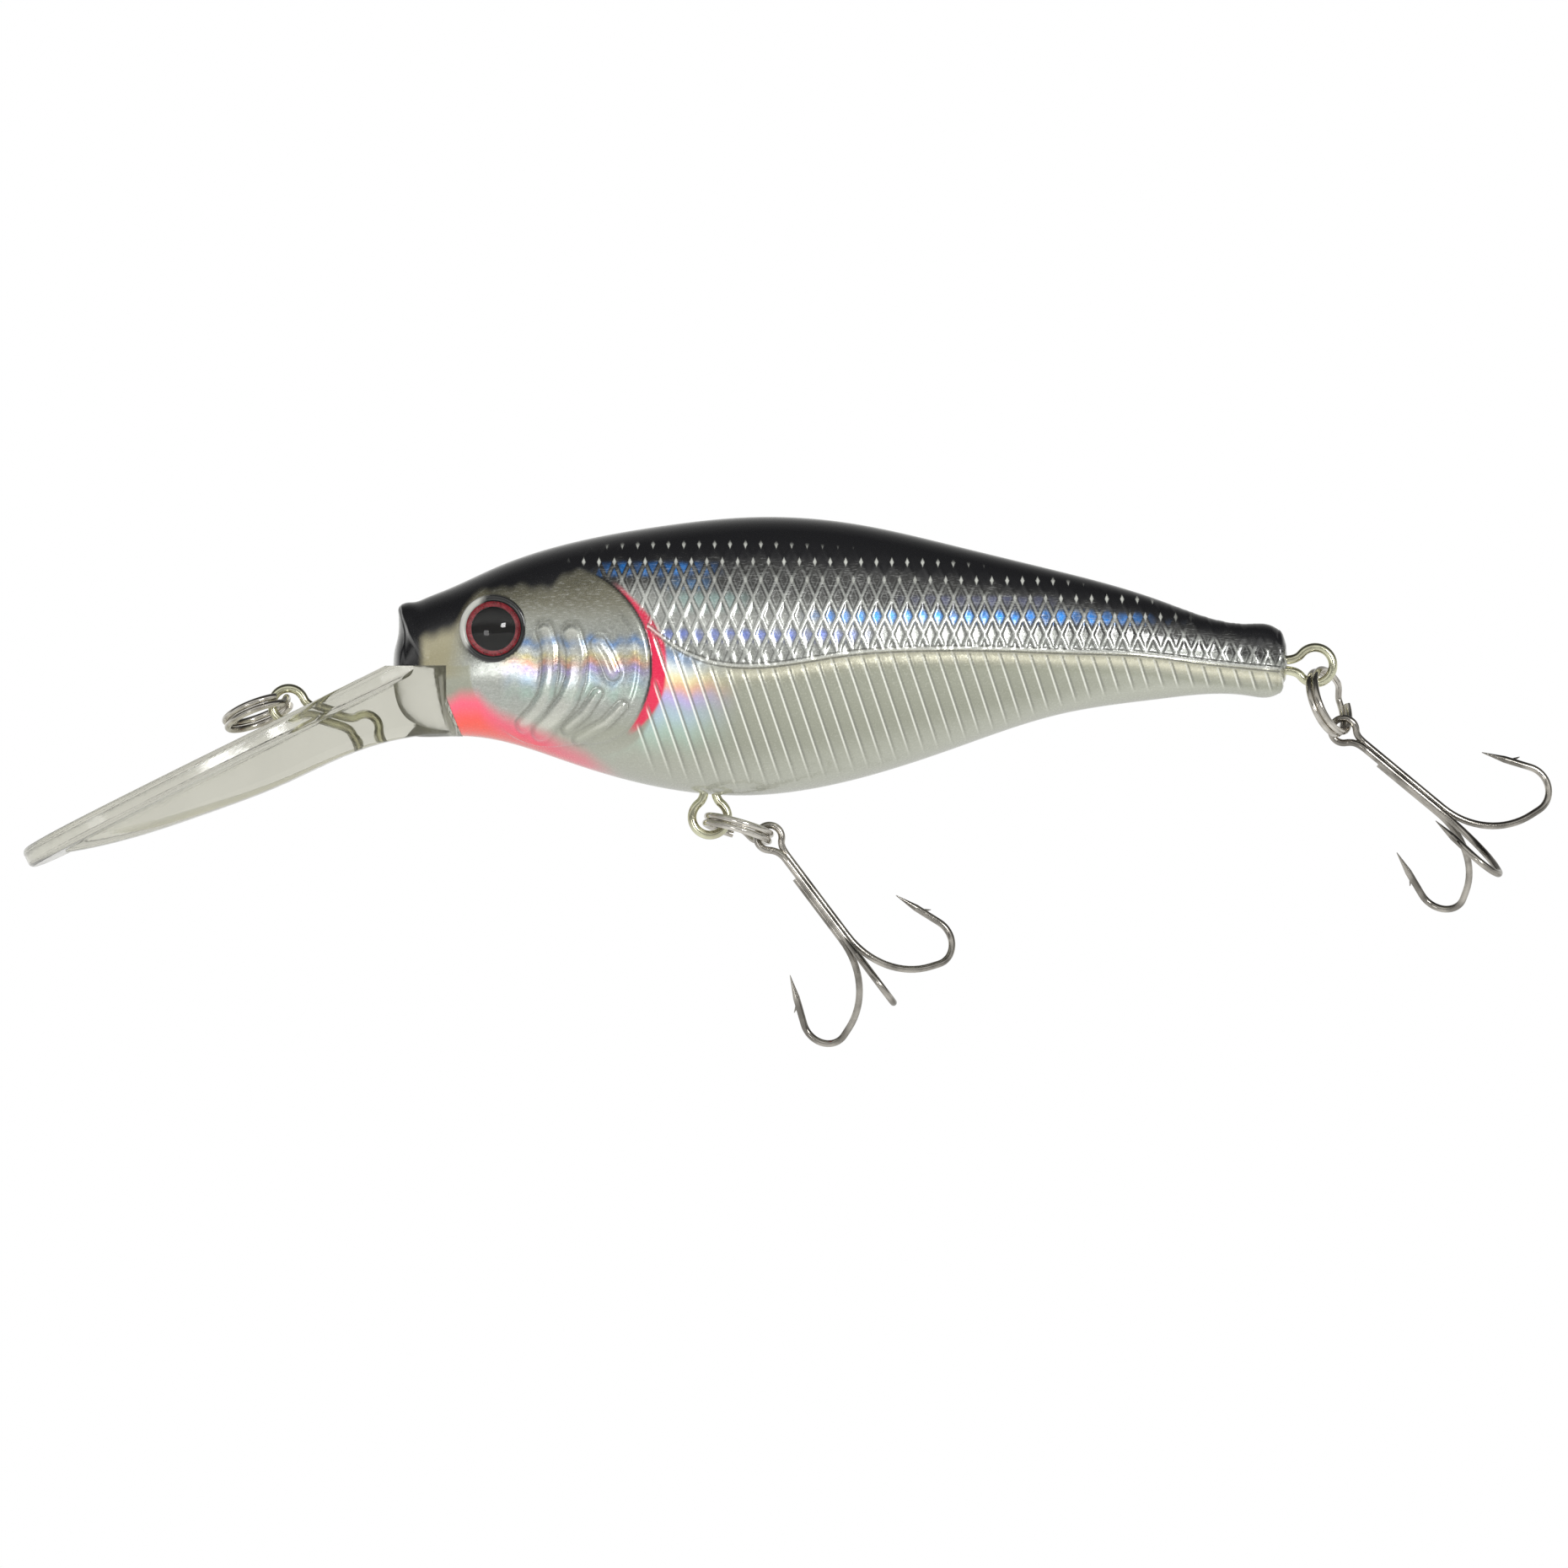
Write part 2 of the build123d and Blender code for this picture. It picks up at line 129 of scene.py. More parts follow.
def spline(points):
    """A smooth curve through (x, y) points: a natural cubic spline, as a function."""
    x, y = np.array(points, float).T
    n = len(x)
    h = np.diff(x)
    a = np.eye(n)
    b = np.zeros(n)
    for i in range(1, n - 1):
        a[i, i - 1 : i + 2] = h[i - 1], 2 * (h[i - 1] + h[i]), h[i]
        b[i] = 6 * ((y[i + 1] - y[i]) / h[i] - (y[i] - y[i - 1]) / h[i - 1])
    m = np.linalg.solve(a, b)

    def value(at):
        at = np.clip(at, x[0], x[-1])
        i = np.clip(np.searchsorted(x, at) - 1, 0, n - 2)
        u, v = at - x[i], x[i + 1] - at
        ends = (m[i] * v**3 + m[i + 1] * u**3) / (6 * h[i])
        return ends + (y[i] / h[i] - m[i] * h[i] / 6) * v + (y[i + 1] / h[i] - m[i + 1] * h[i] / 6) * u

    return value


def ramp(low, high, value):
    """0 below low and 1 above high, smooth between."""
    t = np.clip((value - low) / (high - low), 0, 1)
    return t * t * (3 - 2 * t)


def line(points):
    """Straight runs between points, as a function."""
    x, y = np.array(points, float).T
    return lambda at: np.interp(at, x, y)


def distance_to(points, x, z):
    """Distance in the side view to a bent line, and how far along it, 0 to 1."""
    best = np.full(x.shape, 1e9)
    along = np.zeros(x.shape)
    points = np.array(points, float)
    runs = len(points) - 1
    for i in range(runs):
        a, b = points[i], points[i + 1]
        d = b - a
        t = np.clip(((x - a[0]) * d[0] + (z - a[1]) * d[1]) / (d @ d), 0, 1)
        r = np.hypot(x - a[0] - t * d[0], z - a[1] - t * d[1])
        closer = r < best
        best = np.where(closer, r, best)
        along = np.where(closer, (i + t) / runs, along)
    return best, along


top_of = spline(STATIONS[:, (0, 1)])
bottom_of = spline(STATIONS[:, (0, 2)])
half_of = spline(STATIONS[:, (0, 3)])
lateral = spline((
    (20.1, 2.0), (21.5, 0.9), (23.6, -0.3), (26.5, -1.0), (29.8, -0.95), (35.4, -0.1), (41.4, 0.3),
    (47.5, 0.3), (53.6, 0.1), (58.8, -0.1), (62.1, -0.5), (69.9, -1.3),
))
black_edge = line((
    (0, -2.0), (1, 0.1), (2.4, 0.7), (4.2, 1.6), (5.4, 2.6), (6.4, 4.0), (8, 4.8), (10.3, 4.6),
    (12.5, 5.0), (14.7, 6.0), (17, 6.6), (20, 6.8), (28, 6.9), (36, 6.3), (44, 5.3), (52, 4.0),
    (58, 2.7), (64, 1.3), (68.6, 0.3), (70, 0.0),
))
throat_edge = line((
    (4.0, -3.7), (4.6, -3.5), (5.4, -3.0), (6.8, -3.0), (7.6, -3.8), (8.6, -4.5), (10.2, -5.2),
    (12.2, -6.1), (13.4, -6.8), (15.2, -7.6), (17, -8.8), (18.7, -10.1), (20, -11.5),
))
# The raised bars on the cheek: points along each, and its half width
BARS = (
    (((12.0, 1.7), (12.45, 0.3), (12.4, -1.7), (12.1, -3.3), (11.3, -4.6), (10.3, -5.6)), 0.62),
    (((14.1, 1.4), (14.55, -0.1), (14.4, -2.1), (13.8, -3.7), (12.7, -5.1), (11.7, -6.0)), 0.78),
    (((16.2, 0.6), (16.8, -0.4), (17.3, -1.6)), 0.58),
    (((16.1, -3.2), (15.1, -4.7), (13.7, -5.9)), 0.42),
    (((18.0, -4.2), (16.7, -5.5), (14.6, -6.7)), 0.45),
)


def gill(x, z):
    """Distance outside the cheek's back edge, in the side view, and the angle round its middle."""
    angle = np.arctan2(z - GILL_Z, x - GILL_X)
    radius = GILL_R - 1.6 * ramp(radians(38), radians(80), -angle)
    return np.hypot(x - GILL_X, z - GILL_Z) - radius, angle


def scales(x, z):
    """The raised net between the scales, 0 to 1."""
    u = (x / SCALE_PITCH + z / SCALE_TALL) % 1
    v = (x / SCALE_PITCH - z / SCALE_TALL) % 1
    near = np.minimum(np.minimum(u, 1 - u), np.minimum(v, 1 - v))
    return 1 - ramp(0.0, 0.2, near)


def fields(x, z):
    """Where each kind of relief and paint is, on the body's side."""
    g, angle = gill(x, z)
    lat = z - lateral(x)
    top = black_edge(x)
    behind = ramp(0.25, 0.7, g) * ramp(15.5, 17.0, x + 0.3 * z)
    upper = ramp(0.12, 0.3, lat) * behind
    fade = 1 - ramp(top + 0.9, top + 2.2, z)
    fade *= 1 - 0.5 * ramp(top - 3.0, top, z)
    return dict(g=g, angle=angle, lat=lat, top=top, behind=behind, upper=upper * fade,
                lower=(1 - ramp(-0.45, -0.25, lat)) * behind)


def rib_reach(x):
    """How far down the belly the ribs run, as a share of its depth."""
    return 0.93 - 0.28 * ramp(46, 62, x)


def rib_start(x, z):
    """0 in front of the first rib and 1 behind it."""
    return ramp(17.8, 19.5, x + 0.55 * z + 3.4)


def ribs(x, z, lat):
    """The slanting grooves under the lateral line, 0 to 1, which die out towards the belly."""
    u = ((x + RIB_LEAN * z) / SCALE_PITCH) % 1
    near = np.abs(u - 0.5)
    depth = lat + 0.5
    room = bottom_of(x) - lateral(x)
    fade = 1 - ramp(rib_reach(x) - 0.2, rib_reach(x), depth / room)
    return (1 - ramp(0.04, 0.15, near)) * fade * rib_start(x, z)


def relief(x, z, y):
    """How far the surface stands out, in millimetres."""
    f = fields(x, z)
    out = 0.085 * scales(x, z) * f["upper"]
    out -= 0.09 * ribs(x, z, f["lat"]) * f["lower"]
    on_line = ramp(19.6, 20.4, x) * (1 - ramp(69.0, 69.8, x))
    out += 0.12 * on_line * (1 - ramp(0.13, 0.3, np.abs(f["lat"])))
    out -= 0.09 * on_line * (1 - ramp(0.03, 0.09, np.abs(f["lat"])))
    cheek = (1 - ramp(-0.12, 0.06, f["g"])) * ramp(8.0, 13.0, x - 0.5 * (z + 5))
    out += 0.24 * cheek
    rim = ramp(-1.15, -0.85, f["g"]) * (1 - ramp(-0.3, -0.1, f["g"])) * (1 - ramp(0.5, 0.8, f["angle"]))
    out += 0.07 * rim * ramp(-1.6, -1.3, f["angle"]) * ramp(13, 15, x)
    for points, width in BARS:
        d, along = distance_to(points, x, z)
        bar = 1 - ramp(width - 0.42, width, d)
        out += 0.14 * bar - 0.06 * (1 - ramp(0.0, 0.22, np.abs(d - width - 0.06)))
    # Snout: a small bump on top, a ridge down from it and a hollow in front
    bump = np.exp(-(((x - 1.0) / 0.6) ** 2) - ((z - 3.8) / 1.0) ** 2)
    ridge, _ = distance_to(((0.9, 3.2), (1.5, 1.6), (2.6, -0.2)), x, z)
    hollow = np.exp(-(((x - 0.55) / 0.55) ** 2) - ((z - 1.3) / 1.1) ** 2)
    out += 0.5 * bump + 0.2 * np.exp(-((ridge / 0.26) ** 2)) - 0.34 * hollow
    # The weld line between the halves
    out -= 0.05 * (1 - ramp(0.02, 0.14, np.abs(y)))
    return out


# ------------------------------------------------------------------ the painted body


def body_grid():
    """The left half as a grid of points: x, y, z in millimetres from the nose."""
    nose = np.linspace(0, pi / 2, 26)
    tail = np.linspace(pi / 2, 0, 14)
    front = NOSE_ROUND * (1 - np.cos(nose))
    back = BODY_LENGTH - TAIL_ROUND * (1 - np.cos(tail))
    middle = np.linspace(NOSE_ROUND, BODY_LENGTH - TAIL_ROUND, ROWS)[1:-1]
    xs = np.concatenate((front, middle, back))
    size = np.concatenate((np.sin(nose), np.ones(len(middle)), np.sin(tail)))
    shape = np.clip(xs, NOSE_ROUND, BODY_LENGTH - TAIL_ROUND)
    angle = np.linspace(-pi / 2, pi / 2, COLUMNS)
    power = 2 / SQUARENESS
    across = np.abs(np.cos(angle)) ** power
    across[0] = across[-1] = 0
    up = np.sign(np.sin(angle)) * np.abs(np.sin(angle)) ** power
    middle_z = (top_of(shape) + bottom_of(shape)) / 2
    tall = (top_of(shape) - bottom_of(shape)) / 2
    size = np.maximum(size, 0.004)
    x = np.repeat(xs[:, None], COLUMNS, 1)
    y = -(size * half_of(shape))[:, None] * across
    z = middle_z[:, None] + (size * tall)[:, None] * up
    return np.stack((x, y, z), 2)


def raised(grid):
    """The grid with its relief, moved out along the surface."""
    along = np.gradient(grid, axis=0)
    round_it = np.gradient(grid, axis=1)
    normal = np.cross(along, round_it)
    normal /= np.maximum(np.linalg.norm(normal, axis=2, keepdims=True), 1e-9)
    # The sign that points the normals out of this half, taken from the middle of its side
    normal *= -np.sign(np.mean(normal[200:300, 60:90, 1]))
    out = relief(grid[..., 0], grid[..., 2], grid[..., 1])
    # The relief dies out where the grid runs together
    out *= np.clip(np.linalg.norm(round_it, axis=2) / 0.03, 0, 1)
    moved = grid + normal * out[..., None]
    from_eye = np.hypot(moved[..., 0] - EYE_X, moved[..., 2] - EYE_Z)
    socket = -SOCKET_OUT - 1.4 * ramp(EYE_RIM - 0.28, EYE_RIM - 0.08, from_eye)
    moved[..., 1] = np.where(from_eye < EYE_RIM, np.maximum(moved[..., 1], socket), moved[..., 1])
    moved[..., 1] = np.minimum(moved[..., 1], 0)
    return moved


def cut_chin(bm):
    """Splits the faces along the chin's three edges."""
    planes = (
        ((0, 0, CHIN_TOP), (0, 0, 1), lambda c: c.x < CHIN_BACK[0] + 1 and abs(c.z - CHIN_TOP) < 1),
        ((CHIN_BACK[0], 0, 0), (1, 0, 0),
         lambda c: abs(c.x - CHIN_BACK[0]) < 1 and CHIN_BACK[1] - 1 < c.z < CHIN_TOP + 1),
        ((CHIN_BACK[0], 0, CHIN_BACK[1]), (CHIN_FOOT[1] - CHIN_BACK[1], 0, CHIN_BACK[0] - CHIN_FOOT[0]),
         lambda c: 3 < c.x < 7.5 and c.z < CHIN_BACK[1] + 0.7),
    )
    for at, normal, chosen in planes:
        faces = [f for f in bm.faces if chosen(f.calc_center_median())]
        geometry = set(faces)
        for f in faces:
            geometry.update(f.edges)
            geometry.update(f.verts)
        across = Vector(normal).normalized()
        bmesh.ops.bisect_plane(bm, geom=list(geometry), dist=1e-6, plane_co=at, plane_no=across)


def in_chin(c):
    """Whether a point is in the clear chin."""
    lean = (CHIN_FOOT[0] - CHIN_BACK[0]) / (CHIN_BACK[1] - CHIN_FOOT[1])
    back = CHIN_BACK[0] + max(0, CHIN_BACK[1] - c.z) * lean
    return c.z < CHIN_TOP and c.x < back


def on_chin_edge(edge):
    """Whether an open edge is one that the chin's cut left."""
    ends = [v.co for v in edge.verts]
    near = max(c.x for c in ends) < 6.2 and max(c.z for c in ends) < CHIN_TOP + 0.01
    return edge.is_boundary and near and min(abs(c.y) for c in ends) > 1e-4


def open_chin(bm):
    """Takes the chin away and walls the cut in to the centre plane, with the second material."""
    cut_chin(bm)
    chin = [f for f in bm.faces if in_chin(f.calc_center_median())]
    bmesh.ops.delete(bm, geom=chin, context="FACES")
    edges = [e for e in bm.edges if on_chin_edge(e)]
    for part in bmesh.ops.extrude_edge_only(bm, edges=edges)["geom"]:
        if isinstance(part, bmesh.types.BMVert):
            part.co.y = 0
        if isinstance(part, bmesh.types.BMFace):
            part.material_index = 1


def body_mesh(name, side):
    """One painted half, cut away where the clear chin of the lip fits, with flat walls there."""
    points = raised(body_grid())
    rows, columns = points.shape[:2]
    index = np.arange(rows * columns).reshape(rows, columns)
    quads = np.stack((index[:-1, :-1], index[1:, :-1], index[1:, 1:], index[:-1, 1:]), 2).reshape(-1, 4)
    if side > 0:
        quads = quads[:, ::-1]
    mesh = bpy.data.meshes.new(name)
    mesh.from_pydata((points.reshape(-1, 3) * (1, -side, 1)).tolist(), [], quads.tolist())
    bm = bmesh.new()
    bm.from_mesh(mesh)
    open_chin(bm)
    for v in bm.verts:
        v.co = Vector(((v.co.x + NOSE_X) * MM, v.co.y * MM, (v.co.z + AXIS_Z) * MM))
    clean(bm, mesh)
    return mesh


def clean(bm, mesh):
    """Joins points that meet, turns the faces outward and writes the mesh."""
    bmesh.ops.remove_doubles(bm, verts=bm.verts, dist=1e-7)
    bmesh.ops.recalc_face_normals(bm, faces=bm.faces)
    bm.to_mesh(mesh)
    bm.free()


# ------------------------------------------------------------------ paint, layer by layer


def hump(value, width, power=2):
    """1 where value is 0, falling away on both sides."""
    return np.exp(-((value / width) ** power))


class Coat:
    """What the paint is at each point of a half: its colour, how much foil shows, and coloured glints."""

    def __init__(self, x, z):
        self.x, self.z = x, z
        f = fields(x, z)
        self.g, self.angle, self.lat, self.top = f["g"], f["angle"], f["lat"], f["top"]
        self.behind, self.lower = f["behind"], f["lower"]
        self.room = bottom_of(x) - lateral(x)
        self.high = np.clip((z - lateral(x)) / np.maximum(self.top - lateral(x), 0.5), 0, 1.4)
        self.scaled = ramp(-0.1, 0.15, self.lat) * ramp(-0.1, 0.2, self.g)
        self.cheek = (1 - ramp(-0.05, 0.05, self.g)) * ramp(3.5, 6.5, x)
        self.colour = np.tile((0.25, 0.258, 0.203), (len(x), 1))
        self.foil = np.full(len(x), 0.12)
        self.glint = np.zeros((len(x), 4))
        self.cover = np.zeros(len(x))

    def over(self, colour, amount):
        """Sprays a colour over what is there."""
        self.colour = self.colour + (np.array(colour) - self.colour) * amount[:, None]


def pearl_belly(coat):
    """Pearl that pales downwards and to the tail, with bright foil just under the lateral line and a
    painted cream highlight along it.
    """
    x, lat = coat.x, coat.lat
    low = ramp(0.58, 0.98, lat / coat.room)
    coat.over((0.37, 0.38, 0.32), np.clip(0.6 * ramp(48, 62, x) + low, 0, 1))
    under = ramp(-1.9, -0.2, lat) * ramp(19.5, 21, x)
    coat.over((0.40, 0.39, 0.29), 0.8 * under)
    coat.over((0.24, 0.25, 0.19), 0.6 * (hump(lat + 1.5, 0.25) * ramp(36, 42, x)))
    # Painted highlight: a bright cream band a little under the lateral line
    coat.over((0.74, 0.72, 0.56), 0.8 * hump(lat + 0.65, 0.3) * ramp(24, 28, x))
    coat.foil = coat.foil + 0.55 * under


def silver_flank(coat):
    """Silver scales, dark at the top, with a painted sheen that makes the middle rows of the front half
    brightest.
    """
    x, high, scaled = coat.x, coat.high, coat.scaled
    coat.over((0.31, 0.32, 0.295), scaled)
    # Painted sheen: the middle rows of the front half made brighter
    bright = hump(high - 0.35, 0.2) * ramp(20, 25, x) * (1 - ramp(38, 50, x))
    coat.over((0.42, 0.43, 0.40), scaled * bright)
    rearward = np.clip(x - 30, 0, 22)
    dark = ramp(0.40 - 0.01 * rearward, 0.8 - 0.011 * rearward, high)
    coat.over((0.035, 0.035, 0.033), scaled * dark)
    coat.foil = np.maximum(coat.foil, 0.75 * scaled)


def silver_cheek(coat):
    """Silver that goes to brown gold above and in front of the eye."""
    z, cheek = coat.z, coat.cheek
    coat.over((0.46, 0.48, 0.44), cheek * ramp(-6.5, -3.5, z))
    coat.over((0.15, 0.138, 0.085), cheek * ramp(0.9, 4.4, z) * 0.9)
    front = (1 - ramp(3.8, 7.0, coat.x - 0.3 * z)) * ramp(-2.3, -1.6, z)
    coat.over((0.26, 0.235, 0.145), 0.9 * front)
    coat.foil = np.maximum(coat.foil, 0.85 * cheek * ramp(-7.0, -3.5, z)) * (1 - 0.6 * front)


def painted_rainbow(coat):
    """The foil's rainbow in level bands, on the cheek and behind it: a painted reflection that does not
    change with the view.
    """
    x, z = coat.x, coat.z
    on_cheek = coat.cheek * ramp(8.2, 10.2, x)
    on_flank = ramp(0.9, 1.3, coat.g) * ramp(14, 16, x) * (1 - ramp(21.5, 27.5, x))
    on_flank = on_flank * (1 - ramp(-0.3, 0.1, coat.lat))
    wobble = 0.18 * np.sin(2.1 * x) + 0.1 * np.sin(5.3 * x + 1)
    # Painted reflection: the foil's changing rainbow laid in as fixed colour bands
    for level, width, colour, amount in PAINTED_RAINBOW:
        there = hump(z - wobble - level, width)
        coat.over(colour, amount * on_cheek * there * (0.75 + 0.25 * np.sin(3.7 * x)))
        there = hump(z + 1.6 - wobble - 1.5 * level, 2 * width)
        coat.over(colour, 0.75 * amount * on_flank * there)


def painted_glint_rows(coat):
    """Painted glints: rows of blue, violet and green on the scales."""
    for level, width, (a, b, c, d), colour, amount in PAINTED_GLINT_ROWS:
        there = hump(coat.z - level, width, 4) * ramp(a, b, coat.x) * (1 - ramp(c, d, coat.x)) * coat.scaled
        # Painted glints: fixed colour where the foil's coloured reflections show
        coat.glint[:, :3] += np.array(colour) * there[:, None]
        coat.glint[:, 3] = np.maximum(coat.glint[:, 3], amount * there)


def red_throat(coat):
    """Rose at its edge, orange red below."""
    x, z = coat.x, coat.z
    edge = throat_edge(x)
    throat = (1 - ramp(edge - 0.8 - 0.05 * x, edge + 0.5, z)) * (1 - ramp(14.5, 19.5, x))
    coat.over((0.80, 0.10, 0.17), throat)
    coat.over((0.86, 0.075, 0.045), throat * ramp(0.8, 2.6, edge - z))
    coat.foil = coat.foil * (1 - 0.8 * throat)


def crimson_gill(coat):
    """A crimson crescent behind the cheek."""
    g, angle = coat.g, coat.angle
    broad = 0.25 + 0.85 * ramp(-0.85, -0.2, angle) * (1 - ramp(0.15, 0.75, angle))
    crimson = ramp(0.05, 0.15, g) * (1 - ramp(broad, broad + 0.25, g))
    crimson = crimson * ramp(-0.75, -0.55, angle) * (1 - ramp(0.7, 0.95, angle))
    coat.over((0.60, 0.012, 0.06), crimson * (coat.x > 10))
    coat.foil = coat.foil * (1 - 0.4 * crimson)


def black_back(coat):
    """Black back and snout, with a soft sprayed edge. Keeps where it covers."""
    x, top = coat.x, coat.top
    spray = 0.22 * np.sin(1.7 * x) + 0.13 * np.sin(4.1 * x + 0.7)
    sprayed = ramp(top - 0.55, top + 0.75, coat.z + spray)
    snout = 1 - ramp(2.0, 2.8, x)
    coat.cover = np.maximum(sprayed, snout)
    coat.over(BLACK, coat.cover)
    coat.foil = coat.foil * (1 - coat.cover)
    coat.glint[:, 3] *= 1 - coat.cover


def cheek_outline(coat):
    """A black line on the cheek's back edge."""
    angle = coat.angle
    outline = (1 - ramp(0.07, 0.16, np.abs(coat.g - 0.02))) * ramp(-0.6, -0.3, angle)
    outline = outline * (1 - ramp(1.05, 1.25, angle)) * (coat.x > 10)
    coat.over(BLACK, 0.95 * outline)
    coat.foil = coat.foil * (1 - outline)


def scale_net(coat):
    """Where the net between the scales shows, and where only its corners do."""
    high, on = coat.high, coat.scaled * coat.behind
    net = on * (1 - ramp(0.82, 1.05, high)) * (1 - 0.45 * ramp(0.5, 0.85, high))
    dots = on * ramp(0.7, 0.9, high) * (1 - ramp(coat.top + 1.4, coat.top + 2.0, coat.z))
    dots *= 1 - ramp(59, 63, coat.x)
    return net, dots


def rib_marks(coat):
    """Where the ribs' painted highlight and painted shade lines show."""
    reach = rib_reach(coat.x)
    fade = 1 - ramp(reach - 0.33, reach, (coat.lat + 0.5) / coat.room)
    return coat.lower * fade * rib_start(coat.x, coat.z) * (1 - coat.cover)


def from_bars(coat):
    """Distance outside the nearest cheek bar."""
    nearest = np.full(len(coat.x), 9.0)
    for points, width in BARS:
        d, _ = distance_to(points, coat.x, coat.z)
        nearest = np.minimum(nearest, d - width)
    return nearest


def paint_fields(mesh):
    """Stores the paint on the mesh's points, as colours and as measures that the material reads."""
    co = np.empty(len(mesh.vertices) * 3)
    mesh.vertices.foreach_get("co", co)
    co = co.reshape(-1, 3) / MM
    coat = Coat(co[:, 0] - NOSE_X, co[:, 2] - AXIS_Z)
    layers = (pearl_belly, silver_flank, silver_cheek, painted_rainbow, painted_glint_rows, red_throat, crimson_gill,
              black_back, cheek_outline)
    for layer in layers:
        layer(coat)
    net, dots = scale_net(coat)
    on_line = np.where((coat.x > 19.9) & (coat.x < 69.4), np.clip(coat.lat, -3, 3), 3.0)
    rgba = np.ones((len(coat.x), 4))
    rgba[:, :3] = coat.colour
    for name, values in (("paint", rgba), ("glint", coat.glint)):
        colour = mesh.color_attributes.new(name, "FLOAT_COLOR", "POINT")
        colour.data.foreach_set("color", values.ravel())
    measures = {"foil": coat.foil, "net": net, "dots": dots, "rib": rib_marks(coat),
                "bars": from_bars(coat), "line": on_line}
    for name, values in measures.items():
        own = mesh.attributes.new(name, "FLOAT", "POINT")
        own.data.foreach_set("value", values.astype(np.float32))


# ------------------------------------------------------------------ materials


class Nodes:
    """A short way to write a material's nodes."""

    def __init__(self, name):
        self.material = bpy.data.materials.new(name)
        self.material.use_nodes = True
        self.tree = self.material.node_tree
        self.shader = self.tree.nodes["Principled BSDF"]

    def add(self, kind, **settings):
        node = self.tree.nodes.new("ShaderNode" + kind)
        for key, value in settings.items():
            setattr(node, key, value)
        return node

    def put(self, value, socket):
        if isinstance(value, bpy.types.NodeSocket):
            self.tree.links.new(value, socket)
        else:
            socket.default_value = value

    def math(self, operation, *values):
        node = self.add("Math", operation=operation)
        for value, socket in zip(values, node.inputs):
            self.put(value, socket)
        return node.outputs[0]

    def ramp(self, value, low, high, to_low=0.0, to_high=1.0):
        node = self.add("MapRange", interpolation_type="SMOOTHSTEP")
        for i, v in enumerate((value, low, high, to_low, to_high)):
            self.put(v, node.inputs[i])
        return node.outputs[0]

    def mix(self, amount, a, b):
        node = self.add("Mix", data_type="RGBA")
        self.put(amount, node.inputs[0])
        self.put(a, node.inputs[6])
        self.put(b, node.inputs[7])
        return node.outputs[2]

    def place(self):
        """Object coordinates in millimetres."""
        scaled = self.add("VectorMath", operation="SCALE")
        self.put(self.add("TexCoord").outputs["Object"], scaled.inputs[0])
        scaled.inputs["Scale"].default_value = 1000
        return scaled.outputs[0]

    def attribute(self, name, output="Fac"):
        return self.add("Attribute", attribute_name=name).outputs[output]

    def side_view(self):
        """Millimetres back from the nose, and up from the body's middle height."""
        split = self.add("SeparateXYZ")
        self.put(self.place(), split.inputs[0])
        x, _, z = split.outputs
        return self.math("SUBTRACT", x, NOSE_X), self.math("SUBTRACT", z, AXIS_Z)

    def band(self, value, middle, low, high, strength):
        """Strength where value is within low of middle, down to 0 at high from it."""
        away = self.math("ABSOLUTE", self.math("SUBTRACT", value, middle))
        return self.ramp(away, low, high, strength, 0.0)

    def noise(self, scale, detail=2.0, stretch=None):
        """Noise with features about 1/scale millimetres across."""
        at = self.place()
        if stretch:
            mapping = self.add("Mapping")
            mapping.inputs["Scale"].default_value = stretch
            self.put(at, mapping.inputs["Vector"])
            at = mapping.outputs[0]
        node = self.add("TexNoise")
        self.put(at, node.inputs["Vector"])
        node.inputs["Scale"].default_value = scale
        node.inputs["Detail"].default_value = detail
        return node.outputs["Fac"]

    def bump(self, height, distance_mm, strength=1.0):
        node = self.add("Bump")
        node.inputs["Strength"].default_value = strength
        node.inputs["Distance"].default_value = distance_mm * MM
        self.put(height, node.inputs["Height"])
        self.put(node.outputs[0], self.shader.inputs["Normal"])

    def set(self, **values):
        for key, value in values.items():
            self.put(value, self.shader.inputs[key.replace("_", " ")])


def scale_marks(n, x, z, colour):
    """The net of light ridges between the scales, their shadows, cells tinted by the painted glints, and
    corner dots above.
    """
    net, dots = n.attribute("net"), n.attribute("dots")
    across = n.math("DIVIDE", x, SCALE_PITCH)
    up = n.math("DIVIDE", z, SCALE_TALL)
    rising = n.math("PINGPONG", n.math("ADD", across, up), 0.5)
    falling = n.math("PINGPONG", n.math("SUBTRACT", across, up), 0.5)
    near = n.math("MINIMUM", rising, falling)
    glint = n.add("Attribute", attribute_name="glint")
    # Painted glints tint the middle of each cell
    cell = n.math("MULTIPLY", n.ramp(near, 0.12, 0.2), glint.outputs["Alpha"])
    patchy = n.math("MULTIPLY", cell, n.ramp(n.noise(0.9, 2.0), 0.3, 0.6, 0.35, 1.0))
    colour = n.mix(patchy, colour, glint.outputs["Color"])
    ridge = n.math("MULTIPLY", n.ramp(near, 0.04, 0.13, 1.0, 0.0), net)
    colour = n.mix(n.math("MULTIPLY", ridge, 0.62), colour, (0.62, 0.64, 0.60, 1))
    shadow = n.math("MULTIPLY", n.band(near, 0.17, 0.0, 0.06, 0.5), net)
    colour = n.mix(shadow, colour, (0.03, 0.03, 0.03, 1))
    inner = n.math("MULTIPLY", n.band(near, 0.27, 0.0, 0.07, 1.0), net)
    colour = n.mix(n.math("MULTIPLY", inner, 0.30), colour, (0.55, 0.57, 0.55, 1))
    corner = n.ramp(n.math("MAXIMUM", rising, falling), 0.06, 0.17, 0.65, 0.0)
    return n.mix(n.math("MULTIPLY", corner, dots), colour, (0.60, 0.61, 0.56, 1))


